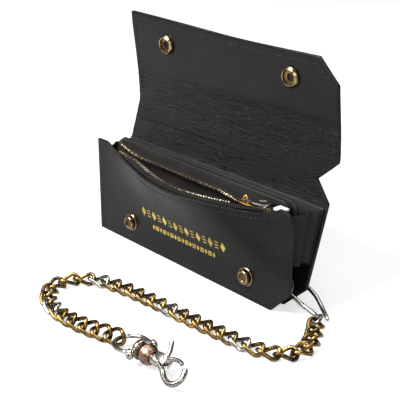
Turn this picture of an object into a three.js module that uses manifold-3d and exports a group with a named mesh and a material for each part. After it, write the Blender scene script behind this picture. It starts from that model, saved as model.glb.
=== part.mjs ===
// Chain wallet: a long leather wallet with a snapped flap and a zipped front pocket,
// tethered by a curb chain to a trigger snap. Millimetres, +X to the right, -Y to the front, +Z up.
// The origin is on the ground, under the middle of the folded base.
import * as THREE from 'three';
import { mergeVertices } from 'three/addons/utils/BufferGeometryUtils.js';
import Module from 'manifold-3d';

const wasm = await Module();
wasm.setup();

// ---------- driving dimensions ----------
const halfWidth = 90;
const gap = 0.3;
const frontHeight = 65;
const cornerCut = 14.4;
const frontFaceY = -6;
const frontLeather = 2;
const zipBackLeather = 1.6;
const dividerLeather = 1.6;
const pocketLeather = 1.2;
const backLeather = 2.6;

const backLean = THREE.MathUtils.degToRad(17.6);
const dividerLean = THREE.MathUtils.degToRad(8.2);
const zipBackLean = THREE.MathUtils.degToRad(6);
const flapForward = THREE.MathUtils.degToRad(4);

const backBaseY = 4.7;
const dividerBaseY = 0.6;
const zipBackBaseY = -2.4;
const backFoot = 0.45;
const pocketHeight = 64;
const backHeight = 66;
const spineHeight = 24;
const notchDepth = 12.3;
const flapHeight = 60.5;

const studX = 55;
const studHeight = 14.5;
const socketHeight = 44.5;
const postHole = 1.9;
const socketHole = 2.1;
const drillLength = 12;

const bowDepth = 16;
const bowReach = 82;
const bowStart = 18;
const scoopDepth = 8.5;
const scoopReach = 80;

const linkCount = 32;
const linkWire = 2.4;
const linkLong = 12.4;
const linkWide = 8.4;
const linkTwist = THREE.MathUtils.degToRad(45);
const chainHeight = 3.3;
const linkGap = 0.7;

const hookWire = 2.6;
const eyelet = { x: 75.5, height: 12, hole: 3.4, tube: 4.2, flange: 6 };

// ---------- materials ----------
function leather(colour, roughness) {
  return new THREE.MeshStandardMaterial({ color: colour, roughness, metalness: 0 });
}

function metal(colour, roughness) {
  return new THREE.MeshStandardMaterial({ color: colour, roughness, metalness: 1 });
}

const blackLeather = leather(0x1c1b1b, 0.45);
const innerLeather = leather(0x2b2725, 0.7);
const zipTapeCloth = leather(0x141414, 0.9);
const antiqueBrass = metal(0x8a6a35, 0.35);
const polishedBrass = metal(0xd2ab5c, 0.25);
const agedSilver = metal(0xb9b2a6, 0.3);
const copperDome = metal(0x9c7458, 0.4);

// ---------- scene helpers ----------
const wallet = new THREE.Group();

function addPiece(parent, name, geometry, material) {
  const mesh = new THREE.Mesh(geometry, material);
  mesh.name = name;
  parent.add(mesh);
  return mesh;
}

function addGroup(parent, x, y, z) {
  const group = new THREE.Group();
  group.position.set(x, y, z);
  parent.add(group);
  return group;
}

function toManifold(geometry) {
  const bare = geometry.clone();
  bare.deleteAttribute('normal');
  bare.deleteAttribute('uv');
  const merged = mergeVertices(bare, 1e-4);
  const vertProperties = new Float32Array(merged.attributes.position.array);
  const triVerts = new Uint32Array(merged.index.array);
  return new wasm.Manifold(new wasm.Mesh({ numProp: 3, vertProperties, triVerts }));
}

function fromManifold(solid) {
  const mesh = solid.getMesh();
  const geometry = new THREE.BufferGeometry();
  geometry.setAttribute('position', new THREE.BufferAttribute(new Float32Array(mesh.vertProperties), 3));
  geometry.setIndex(new THREE.BufferAttribute(new Uint32Array(mesh.triVerts), 1));
  return geometry;
}

function join(...geometries) {
  return fromManifold(geometries.map(toManifold).reduce((whole, next) => whole.add(next)));
}

function cut(geometry, ...tools) {
  return fromManifold(tools.map(toManifold).reduce((whole, next) => whole.subtract(next), toManifold(geometry)));
}

// A flat slab: an outline drawn as across/up pairs, standing up, with its thickness centred on y = 0.
function slab(outline, thickness) {
  const shape = new THREE.Shape(outline.map(([x, z]) => new THREE.Vector2(x, z)));
  const geometry = new THREE.ExtrudeGeometry(shape, { depth: thickness, bevelEnabled: false });
  geometry.rotateX(Math.PI / 2);
  geometry.translate(0, thickness / 2, 0);
  return geometry;
}

// A turned piece: radius/height pairs about an axis that points to the front (-Y).
function turned(profile, sides = 20) {
  const points = profile.map(([radius, height]) => new THREE.Vector2(radius, height));
  const geometry = new THREE.LatheGeometry(points, sides);
  geometry.rotateX(Math.PI);
  return faceOutward(geometry);
}

// A round wire along a smooth open curve.
function wire(points, diameter, steps, sides = 8) {
  const curve = new THREE.CatmullRomCurve3(points.map(([x, y, z]) => new THREE.Vector3(x, y, z)));
  const section = new THREE.Shape();
  for (let i = 0; i < sides; i += 1) {
    const angle = (i / sides) * Math.PI * 2;
    const across = (Math.cos(angle) * diameter) / 2;
    const up = (Math.sin(angle) * diameter) / 2;
    if (i === 0) section.moveTo(across, up);
    else section.lineTo(across, up);
  }
  return new THREE.ExtrudeGeometry(section, { extrudePath: curve, steps, bevelEnabled: false });
}

// Turns a closed mesh right side out: its signed volume tells which way its faces look.
function faceOutward(geometry) {
  const position = geometry.attributes.position;
  const index = geometry.index.array;
  const corner = (i) => new THREE.Vector3().fromBufferAttribute(position, index[i]);
  let volume = 0;
  for (let i = 0; i < index.length; i += 3) {
    volume += corner(i).dot(corner(i + 1).cross(corner(i + 2)));
  }
  if (volume > 0) return geometry;
  for (let i = 0; i < index.length; i += 3) {
    const second = index[i + 1];
    index[i + 1] = index[i + 2];
    index[i + 2] = second;
  }
  return geometry;
}

// A closed loop of round wire about the origin, swept along the points of its centre line.
function closedLoop(centreLine, diameter, sides) {
  const count = centreLine.length;
  const positions = [];
  const indices = [];
  for (let i = 0; i < count; i += 1) {
    const before = centreLine[(i + count - 1) % count];
    const after = centreLine[(i + 1) % count];
    const along = after.clone().sub(before).normalize();
    const outward = centreLine[i].clone();
    outward.sub(along.clone().multiplyScalar(outward.dot(along))).normalize();
    const third = along.clone().cross(outward);
    for (let j = 0; j < sides; j += 1) {
      const angle = (j / sides) * Math.PI * 2;
      const point = centreLine[i].clone();
      point.addScaledVector(outward, (Math.cos(angle) * diameter) / 2);
      point.addScaledVector(third, (Math.sin(angle) * diameter) / 2);
      positions.push(point.x, point.y, point.z);
    }
  }
  for (let i = 0; i < count; i += 1) {
    for (let j = 0; j < sides; j += 1) {
      const a = i * sides + j;
      const b = i * sides + ((j + 1) % sides);
      const c = ((i + 1) % count) * sides + j;
      const d = ((i + 1) % count) * sides + ((j + 1) % sides);
      indices.push(a, c, b, b, c, d);
    }
  }
  const geometry = new THREE.BufferGeometry();
  geometry.setAttribute('position', new THREE.Float32BufferAttribute(positions, 3));
  geometry.setIndex(indices);
  return faceOutward(geometry);
}

// A curved sheet with thickness: rows of stations, each an outer and an inner edge point,
// thickened along `depth`. Used for the bowed front panel and the zip tapes.
function thickSheet(stations, rows, depth) {
  const half = depth.clone().multiplyScalar(0.5);
  const positions = [];
  const indices = [];
  const columns = stations.length;
  for (const sign of [-1, 1]) {
    for (let i = 0; i < columns; i += 1) {
      for (let j = 0; j <= rows; j += 1) {
        const point = stations[i](j / rows).addScaledVector(half, sign);
        positions.push(point.x, point.y, point.z);
      }
    }
  }
  const at = (layer, i, j) => layer * columns * (rows + 1) + i * (rows + 1) + j;
  const quad = (a, b, c, d) => indices.push(a, b, c, a, c, d);
  for (let i = 0; i < columns - 1; i += 1) {
    for (let j = 0; j < rows; j += 1) {
      quad(at(0, i, j), at(0, i, j + 1), at(0, i + 1, j + 1), at(0, i + 1, j));
      quad(at(1, i, j), at(1, i + 1, j), at(1, i + 1, j + 1), at(1, i, j + 1));
    }
    quad(at(0, i, 0), at(0, i + 1, 0), at(1, i + 1, 0), at(1, i, 0));
    quad(at(0, i, rows), at(1, i, rows), at(1, i + 1, rows), at(0, i + 1, rows));
  }
  for (let j = 0; j < rows; j += 1) {
    const last = columns - 1;
    quad(at(0, 0, j), at(1, 0, j), at(1, 0, j + 1), at(0, 0, j + 1));
    quad(at(0, last, j), at(0, last, j + 1), at(1, last, j + 1), at(1, last, j));
  }
  const geometry = new THREE.BufferGeometry();
  geometry.setAttribute('position', new THREE.Float32BufferAttribute(positions, 3));
  geometry.setIndex(indices);
  return faceOutward(geometry);
}

// ---------- shape of the open zip pocket ----------
// How far the front panel bows forward: a smooth hump across the width that grows with height.
function frontBow(x, height) {
  if (Math.abs(x) >= bowReach) return 0;
  const across = Math.cos((Math.PI / 2) * (x / bowReach)) ** 2;
  const up = THREE.MathUtils.clamp((height - bowStart) / (frontHeight - scoopDepth - bowStart), 0, 1) ** 1.5;
  return bowDepth * across * up;
}

// The scooped top edge of the front panel.
function frontTop(x) {
  const reach = Math.min(Math.abs(x) / scoopReach, 1);
  const roundedCorner = x > 83 ? 7 - Math.sqrt(Math.max(49 - (x - 83) ** 2, 0)) : 0;
  return frontHeight - scoopDepth * (1 - reach ** 6) - roundedCorner;
}

function frontBottom(x) {
  return Math.max(0, x - (halfWidth - cornerCut));
}

// ---------- front zip pocket ----------
function studProfile() {
  const back = frontLeather + gap;
  return [
    [0, -back - 0.8], [4, -back - 0.8], [4, -back], [1.5, -back], [1.5, gap], [5.4, gap], [5.4, gap + 0.7],
    [3.1, gap + 0.9], [3.1, gap + 1.6], [4.2, gap + 1.8], [4.2, gap + 3], [3.4, gap + 3], [2.6, gap + 2], [0, gap + 2],
  ];
}

function frontPanel() {
  const xs = [-90, -84, -78, -72, -66, -60, -52, -44, -36, -28, -20, -12, -4, 4, 12, 20, 28, 36, 44, 52, 60, 66, 71,
    halfWidth - cornerCut, 80, 83, 86, 88, 89.3, 90];
  const middleY = frontFaceY + frontLeather / 2;
  const stations = xs.map((x) => (t) => {
    const height = THREE.MathUtils.lerp(frontBottom(x), frontTop(x), t);
    return new THREE.Vector3(x, middleY - frontBow(x, height), height);
  });
  const sheet = thickSheet(stations, 5, new THREE.Vector3(0, frontLeather, 0));
  const holes = [-studX, studX].map((x) => {
    const hole = new THREE.CylinderGeometry(postHole, postHole, drillLength, 16);
    hole.translate(x, middleY, studHeight);
    return hole;
  });
  return cut(sheet, ...holes);
}

function buildFrontPocket() {
  addPiece(wallet, 'front_panel', frontPanel(), blackLeather);

  const zipBack = addGroup(wallet, 0, zipBackBaseY, 0);
  zipBack.rotation.x = -zipBackLean;
  const outline = [[-82, 2.5], [73, 2.5], [78, 7.5], [78, 63], [75, 66], [-79, 66], [-82, 63]];
  addPiece(zipBack, 'zip_pocket_back', slab(outline, zipBackLeather), innerLeather);

  for (const [name, side] of [['snap_stud_left', -1], ['snap_stud_right', 1]]) {
    const x = side * studX;
    const seat = addGroup(wallet, x, frontFaceY - frontBow(x, studHeight), studHeight);
    addPiece(seat, name, turned(studProfile()), antiqueBrass);
  }
}

// ---------- zip ----------
const tapeThickness = 1.2;
const tapeWidth = 4.5;
const sliderX = 51;
const zipMiddleY = -2.9;
const zipBackFaceY = zipBackBaseY - zipBackLeather / 2 + 60 * Math.tan(zipBackLean);

function zipClosing(x) {
  return THREE.MathUtils.smoothstep(x, 45, 52);
}

function tapeHeight(x) {
  return frontTop(x) + 1;
}

function frontTapeEdges(x) {
  const outer = frontFaceY + frontLeather - frontBow(x, frontHeight) + gap;
  const open = Math.min(outer + tapeWidth, -4);
  return [outer, THREE.MathUtils.lerp(open, zipMiddleY - gap / 2, zipClosing(x))];
}

function backTapeEdges(x) {
  const outer = zipBackFaceY - gap - 0.2;
  const open = Math.max(outer - tapeWidth, -1.6);
  return [outer, THREE.MathUtils.lerp(open, zipMiddleY + gap / 2, zipClosing(x))];
}

function tape(edges) {
  const stations = [];
  for (let x = -68; x <= 76; x += 4) {
    const [outer, inner] = edges(x);
    const low = Math.min(outer, inner);
    const high = Math.max(outer, inner);
    stations.push((t) => new THREE.Vector3(x, THREE.MathUtils.lerp(low, high, t), tapeHeight(x)));
  }
  return thickSheet(stations, 1, new THREE.Vector3(0, 0, tapeThickness));
}

function boxAt(x0, x1, y0, y1, z0, z1) {
  const geometry = new THREE.BoxGeometry(x1 - x0, y1 - y0, z1 - z0);
  geometry.translate((x0 + x1) / 2, (y0 + y1) / 2, (z0 + z1) / 2);
  return geometry;
}

// The bar that the pull turns on sits inside this half ring, so both share one centre.
const pullPivot = { x: -0.5, z: 4.2 };

function zipSlider() {
  const plates = [
    boxAt(-6, 6, -3.6, 3.6, 1.6, 2.8),
    boxAt(-5.5, 5.5, -3.6, 3.6, -2.8, -1.6),
    boxAt(-5.8, -3.4, -0.7, 0.7, -2.7, 2.7),
  ];
  const arch = new THREE.Shape();
  arch.moveTo(2, -1.6);
  arch.lineTo(2, 0);
  arch.absarc(0, 0, 2, 0, Math.PI, false);
  arch.lineTo(-2, -1.6);
  arch.lineTo(-1.1, -1.6);
  arch.lineTo(-1.1, 0);
  arch.absarc(0, 0, 1.1, Math.PI, 0, true);
  arch.lineTo(1.1, -1.6);
  arch.closePath();
  const bridge = new THREE.ExtrudeGeometry(arch, { depth: 1.8, bevelEnabled: false, curveSegments: 8 });
  bridge.rotateX(Math.PI / 2);
  bridge.translate(pullPivot.x, 0.9, pullPivot.z);
  return join(...plates, bridge);
}

function zipPull() {
  const tab = new THREE.Shape();
  tab.moveTo(-0.55, -3);
  tab.lineTo(6, -2.4);
  tab.lineTo(9, -4.2);
  tab.lineTo(16.5, -4.2);
  tab.absarc(16.5, 0, 4.2, -Math.PI / 2, Math.PI / 2, false);
  tab.lineTo(9, 4.2);
  tab.lineTo(6, 2.4);
  tab.lineTo(-0.55, 3);
  tab.closePath();
  const slot = new THREE.Path();
  slot.moveTo(0.55, -1.4);
  slot.lineTo(0.55, 1.4);
  slot.lineTo(3.4, 1.2);
  slot.lineTo(3.4, -1.2);
  slot.closePath();
  const fingerHole = new THREE.Path();
  fingerHole.absellipse(14, 0, 4, 2.4, 0, Math.PI * 2, true);
  tab.holes.push(slot, fingerHole);
  const geometry = new THREE.ExtrudeGeometry(tab, { depth: 1.1, bevelEnabled: false, curveSegments: 10 });
  geometry.translate(0, 0, -0.55);
  return geometry;
}

function buildZip() {
  addPiece(wallet, 'zip_tape_front', tape(frontTapeEdges), zipTapeCloth);
  addPiece(wallet, 'zip_tape_back', tape(backTapeEdges), zipTapeCloth);
  const slider = addGroup(wallet, sliderX, zipMiddleY, tapeHeight(sliderX));
  addPiece(slider, 'zip_slider', zipSlider(), polishedBrass);
  const pull = addGroup(slider, pullPivot.x, 0, pullPivot.z);
  pull.rotation.y = THREE.MathUtils.degToRad(-6);
  addPiece(pull, 'zip_pull', zipPull(), agedSilver);
}

// ---------- body panels ----------
function buildDivider() {
  const divider = addGroup(wallet, 0, dividerBaseY, 0);
  divider.rotation.x = -dividerLean;
  const outline = [[-83.3, 2.5], [58, 2.5], [80.5, 25], [80.5, 65.5], [-83.3, 65.5]];
  addPiece(divider, 'divider', slab(outline, dividerLeather), innerLeather);
}

function buildBack() {
  const back = addGroup(wallet, 0, backBaseY, 0);
  back.rotation.x = -backLean;
  const edge = halfWidth - cornerCut;
  const top = backHeight - gap;
  const outline = [[-halfWidth, backFoot], [edge, backFoot], [halfWidth, cornerCut], [halfWidth, top],
    [-halfWidth, top]];
  const hole = new THREE.CylinderGeometry(eyelet.tube + gap, eyelet.tube + gap, drillLength, 20);
  hole.translate(eyelet.x, 0, eyelet.height);
  addPiece(back, 'back_panel', cut(slab(outline, backLeather), hole), blackLeather);

  const pocketOutline = [[-89, 2], [56, 2], [84, 30], [89, 30], [89, pocketHeight], [-89, pocketHeight]];
  const pocket = addGroup(back, 0, -backLeather / 2 - gap - pocketLeather / 2, 0);
  addPiece(pocket, 'inner_pocket', slab(pocketOutline, pocketLeather), innerLeather);

  const half = backLeather / 2 + gap;
  const ring = [
    [eyelet.hole, -half - 0.6], [eyelet.flange, -half - 0.6], [eyelet.flange, -half], [eyelet.tube, -half],
    [eyelet.tube, half], [eyelet.flange, half], [eyelet.flange, half + 0.6], [eyelet.hole, half + 0.6],
    [eyelet.hole, -half - 0.6],
  ];
  const seat = addGroup(back, eyelet.x, 0, eyelet.height);
  addPiece(seat, 'corner_eyelet', turned(ring), agedSilver);

  // The leather folds about its front face, so both fold lines lie on that face.
  const spine = addGroup(back, 0, -backLeather / 2, backHeight);
  const notch = [[-halfWidth, 0], [halfWidth, 0], [halfWidth - notchDepth, spineHeight / 2],
    [halfWidth, spineHeight - gap], [-halfWidth, spineHeight - gap]];
  const folded = slab(notch, backLeather);
  folded.translate(0, backLeather / 2, 0);
  addPiece(spine, 'fold_spine', folded, blackLeather);
  return addGroup(spine, 0, 0, spineHeight);
}

function socketProfile() {
  return [
    [2.5, gap], [6.5, gap], [6.5, gap + 2], [5.9, gap + 2.8], [4.9, gap + 2.8], [4.7, gap + 0.8],
    [2.5, gap + 0.8], [2.5, gap],
  ];
}

function capProfile() {
  const face = backLeather + gap;
  return [[0, gap + 1.4], [1.7, gap + 1.4], [1.7, -face], [7.2, -face], [7.2, -face - 0.6], [5.4, -face - 1.7],
    [2.8, -face - 2.2], [0, -face - 2.3]];
}

function buildFlap(hinge) {
  const flap = addGroup(hinge, 0, 0, 0);
  flap.rotation.x = backLean + flapForward;
  const edge = halfWidth - cornerCut;
  const outline = [[-halfWidth, 0], [halfWidth, 0], [halfWidth, flapHeight - cornerCut], [edge, flapHeight],
    [-halfWidth, flapHeight]];
  const holes = [-studX, studX].map((x) => {
    const hole = new THREE.CylinderGeometry(socketHole, socketHole, drillLength, 16);
    hole.translate(x, 0, socketHeight);
    return hole;
  });
  const panel = cut(slab(outline, backLeather), ...holes);
  panel.translate(0, backLeather / 2, 0);
  addPiece(flap, 'flap', panel, blackLeather);
  for (const [side, x] of [['left', -studX], ['right', studX]]) {
    const seat = addGroup(flap, x, 0, socketHeight);
    addPiece(seat, `snap_socket_${side}`, turned(socketProfile()), antiqueBrass);
    addPiece(seat, `snap_cap_${side}`, turned(capProfile()), antiqueBrass);
  }
}

// ---------- folded ends and base ----------
// Each end is one folded strip of leather, taken as a block with two V grooves on its outside.
const gussetFront = frontFaceY + frontLeather + 0.5;
const pleatDepth = 3;

function gussetBack(z) {
  const pocketFace = backBaseY - (backLeather / 2 + gap + pocketLeather) / Math.cos(backLean);
  return pocketFace - 0.7 + z * Math.tan(backLean);
}

function gusset(side, outer, inner, low, high) {
  const outline = [
    [outer, 0], [outer - pleatDepth, 0.25], [outer, 0.5], [outer - pleatDepth, 0.75], [outer, 1],
    [inner, 1], [inner, 0],
  ];
  const shape = new THREE.Shape(outline.map(([x, depth]) => new THREE.Vector2(side * x, depth)));
  const geometry = new THREE.ExtrudeGeometry(shape, { depth: high - low, bevelEnabled: false });
  geometry.translate(0, 0, low);
  const position = geometry.attributes.position;
  for (let i = 0; i < position.count; i += 1) {
    position.setY(i, THREE.MathUtils.lerp(gussetFront, gussetBack(position.getZ(i)), position.getY(i)));
  }
  return geometry;
}

function buildEnds() {
  addPiece(wallet, 'gusset_left', gusset(-1, 89, 83.8, 4, 60), blackLeather);
  addPiece(wallet, 'gusset_right', gusset(1, 89, 81, 32, 60), blackLeather);
  const strip = boxAt(-88, 55, frontFaceY + frontLeather + gap, 2.9, 0, 1.2);
  addPiece(wallet, 'base_strip', strip, blackLeather);
}

// ---------- chain ----------
const chainRoute = new THREE.CatmullRomCurve3([
  [110, -5], [118, -16.5], [122.5, -28], [119, -39], [109, -45.5], [97, -48], [80, -49.5], [50, -52], [20, -54],
  [-5, -57.5],
  [-19, -62.5], [-28, -71], [-30, -83], [-23, -94], [-9, -101], [8, -103], [28, -101], [47, -96.5],
].map(([x, y]) => new THREE.Vector3(x, y, 0)));
const liftedLinks = 5;
const liftedHeight = 5.1;
const hookEndLift = 0.5;

// How far link `i` has turned up on edge: the last few stand up to meet the bail.
function linkRoll(i) {
  return Math.max(0, i - (linkCount - 1 - liftedLinks)) / liftedLinks;
}

function linkHeight(i) {
  const nearHook = Math.max(0, 1 - i / 3) * hookEndLift;
  return THREE.MathUtils.lerp(chainHeight, liftedHeight, linkRoll(i)) + nearHook;
}

// Link centres lie on the route at equal straight-line steps, so neighbours always just meet.
function linkCentres() {
  const pitch = linkLong - linkWire - linkGap;
  const centres = [chainRoute.getPoint(0)];
  let last = centres[0];
  for (let t = 0; t <= 1.2 && centres.length < linkCount; t += 0.0002) {
    const point = t <= 1 ? chainRoute.getPoint(t) : beyondRoute(t);
    if (point.distanceTo(last) >= pitch) {
      centres.push(point);
      last = point;
    }
  }
  return centres.map((point, i) => point.setZ(linkHeight(i)));
}

function beyondRoute(t) {
  const end = chainRoute.getPoint(1);
  const step = end.clone().sub(chainRoute.getPoint(0.999)).multiplyScalar(1000 * (t - 1));
  return end.add(step);
}

// One curb link: a racetrack of wire, given a quarter twist from end to end so that it lies flat.
function curbLink() {
  const steps = 16;
  const straight = linkLong - linkWide;
  const round = Math.PI * linkWide;
  const around = round + 2 * straight;
  const centreLine = [];
  for (let i = 0; i < steps; i += 1) {
    const travelled = ((i + 0.5) / steps) * around;
    const [along, across] = racetrack(travelled, straight, linkWide / 2);
    const twist = linkTwist * (along / (linkLong / 2));
    centreLine.push(new THREE.Vector3(along, across * Math.cos(twist), across * Math.sin(twist)));
  }
  return closedLoop(centreLine, linkWire, 6);
}

function racetrack(travelled, straight, radius) {
  const arc = Math.PI * radius;
  if (travelled < straight) return [travelled - straight / 2, -radius];
  if (travelled < straight + arc) {
    const angle = (travelled - straight) / radius - Math.PI / 2;
    return [straight / 2 + radius * Math.cos(angle), radius * Math.sin(angle)];
  }
  if (travelled < 2 * straight + arc) return [straight / 2 - (travelled - straight - arc), radius];
  const angle = (travelled - 2 * straight - arc) / radius + Math.PI / 2;
  return [-straight / 2 + radius * Math.cos(angle), radius * Math.sin(angle)];
}

function headingAt(centres, i) {
  const before = centres[Math.max(i - 1, 0)];
  const after = centres[Math.min(i + 1, centres.length - 1)];
  return Math.atan2(after.y - before.y, after.x - before.x);
}

function buildChain(centres) {
  centres.forEach((centre, i) => {
    const seat = addGroup(wallet, centre.x, centre.y, centre.z);
    seat.rotation.set(linkTwist * linkRoll(i), 0, headingAt(centres, i), 'ZYX');
    addPiece(seat, `link_${String(i + 1).padStart(2, '0')}`, curbLink(), antiqueBrass);
  });
}

// ---------- hook through the corner eyelet ----------
function ringLoop(radius, diameter, steps = 14, sides = 6) {
  const centreLine = [];
  for (let i = 0; i < steps; i += 1) {
    const angle = (i / steps) * Math.PI * 2;
    centreLine.push(new THREE.Vector3(radius * Math.cos(angle), radius * Math.sin(angle), 0));
  }
  return closedLoop(centreLine, diameter, sides);
}

function buildDropHook(centres) {
  const start = centres[0];
  const heading = headingAt(centres, 0);
  const along = new THREE.Vector3(Math.cos(heading), Math.sin(heading), 0);
  const eyeRadius = 3.5;
  const wireInLink = 3.15;
  const eyeCentre = start.clone().addScaledVector(along, -(wireInLink + eyeRadius));
  const eye = ringLoop(eyeRadius, 2.2);
  eye.rotateX(linkTwist);
  eye.rotateZ(heading);
  eye.translate(eyeCentre.x, eyeCentre.y, eyeCentre.z);
  const near = eyeCentre.clone().addScaledVector(along, -eyeRadius);
  const arms = wire([
    [near.x, near.y, near.z], [100, 4, 4.6], [92, 3.4, 7], [84, 3.2, 10], [79, 3.9, 11.4], [76, 6, 11.5],
    [75.5, 8.4, 11.5], [76, 11, 12], [79, 14, 12.4], [84, 15.6, 11.6], [92, 15, 8.4], [100, 12, 4.6], [108, 7.5, 2.2],
  ], hookWire, 34);
  addPiece(wallet, 'drop_hook', join(arms, eye), agedSilver);
}

// ---------- bail, swivel and trigger snap ----------
const snapHeading = THREE.MathUtils.degToRad(-4);
const snapRoll = THREE.MathUtils.degToRad(40);
const bailReach = 20.5;
const bailInLink = 3.3;
const collarHeight = 7.3;

// The collar sits one bail length beyond the wire that passes through the last link.
function collarCentre(centres) {
  const last = centres[centres.length - 1];
  const heading = headingAt(centres, centres.length - 1);
  const x = last.x + bailInLink * Math.cos(heading) + bailReach * Math.cos(snapHeading);
  const y = last.y + bailInLink * Math.sin(heading) + bailReach * Math.sin(snapHeading);
  return new THREE.Vector3(x, y, collarHeight);
}

function buildBail() {
  const wireSize = 2.3;
  const drop = liftedHeight - collarHeight;
  const path = wire([
    [-2.2, 7.7, 0], [-6, 8.6, 0.2 * drop], [-12, 8.8, 0.5 * drop], [-17, 6.4, 0.85 * drop], [-19.8, 3, drop],
    [-bailReach, 0, drop],
    [-19.8, -3, drop], [-17, -6.4, 0.85 * drop], [-12, -8.8, 0.5 * drop], [-6, -8.6, 0.2 * drop], [-2.2, -7.7, 0],
  ], wireSize, 30);
  const eyes = [-1, 1].map((side) => {
    const eye = turned([[1.5, -1.1], [2.9, -1.1], [2.9, 1.1], [1.5, 1.1], [1.5, -1.1]], 16);
    eye.translate(0, side * 7.8, 0);
    return eye;
  });
  return join(path, ...eyes);
}

function swivelCollar() {
  const band = new THREE.LatheGeometry([[2.2, -1.4], [5.6, -1.4], [5.9, 0], [5.6, 1.4], [2.2, 1.4], [2.2, -1.4]]
    .map(([r, h]) => new THREE.Vector2(r, h)), 20);
  band.rotateZ(-Math.PI / 2);
  const trunnions = new THREE.CylinderGeometry(1.1, 1.1, 19, 12);
  const bore = new THREE.CylinderGeometry(2.2, 2.2, 10, 20);
  bore.rotateZ(Math.PI / 2);
  return cut(join(band, trunnions), bore);
}

function alongX(profile, sides = 20) {
  const geometry = new THREE.LatheGeometry(profile.map(([r, h]) => new THREE.Vector2(r, h)), sides);
  geometry.rotateZ(-Math.PI / 2);
  return faceOutward(geometry);
}

const pivot = { x: 19.5, y: 3.2 };
const jawWire = 3.2;
const armWire = 2.5;
const thumbWire = 2.6;
const pin = { radius: 0.8, length: 6.4, hole: 1.1 };

// A rod across the snap, centred on the trigger's pivot.
function crossRod(radius, length, sides) {
  return new THREE.CylinderGeometry(radius, radius, length, sides)
    .rotateX(Math.PI / 2)
    .translate(pivot.x, pivot.y, 0);
}

// The fixed half of the snap: a swivel stem, a barrel, two lugs for the trigger and the open hook.
function snapBody() {
  const stem = alongX([
    [0, -3.2], [3, -3.2], [3, -1.8], [1.7, -1.8], [1.7, 2.2], [3.1, 3], [3.1, 15], [2.4, 17], [0, 17],
  ]);
  const jaw = wire([[13.5, -0.8, 0], [18, -1.2, 0], [21.5, -2.6, 0], [24.4, -4.4, 0], [27.05, -5.4, 0], [30, -5.9, 0],
    [33.6, -4.7, 0], [35.7, -1.5, 0], [35.5, 2.1, 0], [33.6, 4.6, 0]], jawWire, 22);
  const lugs = [-2.4, 2.4].map((z) => boxAt(13, pivot.x + 1.8, 0, pivot.y + 2, z - 0.6, z + 0.6));
  const web = boxAt(13, 15.6, 0, pivot.y + 1.4, -2.8, 2.8);
  return cut(join(stem, jaw, ...lugs, web), crossRod(pin.hole, drillLength, 14));
}

// A domed bead that sits on the barrel.
function domeBead() {
  const ball = new THREE.SphereGeometry(5.2, 18, 12).scale(0.85, 1, 1).translate(6.6, 0, 0);
  const bore = new THREE.CylinderGeometry(3.4, 3.4, 40, 20).rotateZ(Math.PI / 2);
  return cut(ball, bore);
}

// The sprung half: a thumb tab, a hub on the pin and the arm that closes the ring.
function trigger() {
  const hub = crossRod(1.9, 3, 14);
  const arm = wire([[19.9, 3.4, 0], [23, 5.3, 0], [26.3, 6.2, 0], [28.6, 6.2, 0], [30.4, 5.7, 0]], armWire, 12);
  const thumb = wire([[19.1, 3.9, 0], [17.9, 7.4, 0], [15.8, 10.6, 0], [14.4, 12.4, 0]], thumbWire, 8);
  return cut(join(hub, arm, thumb), crossRod(pin.hole, drillLength, 14));
}

function buildSnap(centres) {
  const seat = collarCentre(centres);
  const bail = addGroup(wallet, seat.x, seat.y, seat.z);
  bail.rotation.z = snapHeading;
  const snap = addGroup(wallet, seat.x, seat.y, seat.z);
  snap.rotation.set(snapRoll, 0, snapHeading, 'ZYX');
  addPiece(bail, 'bail', buildBail(), agedSilver);
  addPiece(bail, 'swivel_collar', swivelCollar(), agedSilver);
  addPiece(snap, 'swivel_dome', domeBead(), copperDome);
  addPiece(snap, 'snap_hook', snapBody(), agedSilver);
  addPiece(snap, 'trigger', trigger(), agedSilver);
  addPiece(snap, 'trigger_pin', crossRod(pin.radius, pin.length, 12), agedSilver);
}

buildFrontPocket();
buildZip();
buildDivider();
buildFlap(buildBack());
buildEnds();
const centres = linkCentres();
buildChain(centres);
buildDropHook(centres);
buildSnap(centres);

export default wallet;
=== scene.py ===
# %% [markdown]
# # A chain wallet, leather and metal
# The CAD frame fixes where every part is and how it moves. This script dresses that frame: each leather
# panel, snap, link and hook is modelled again with finer surfaces and given a procedural finish.

# %% Load the frame
import math
import bpy
import numpy as np
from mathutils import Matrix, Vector, noise


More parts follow.
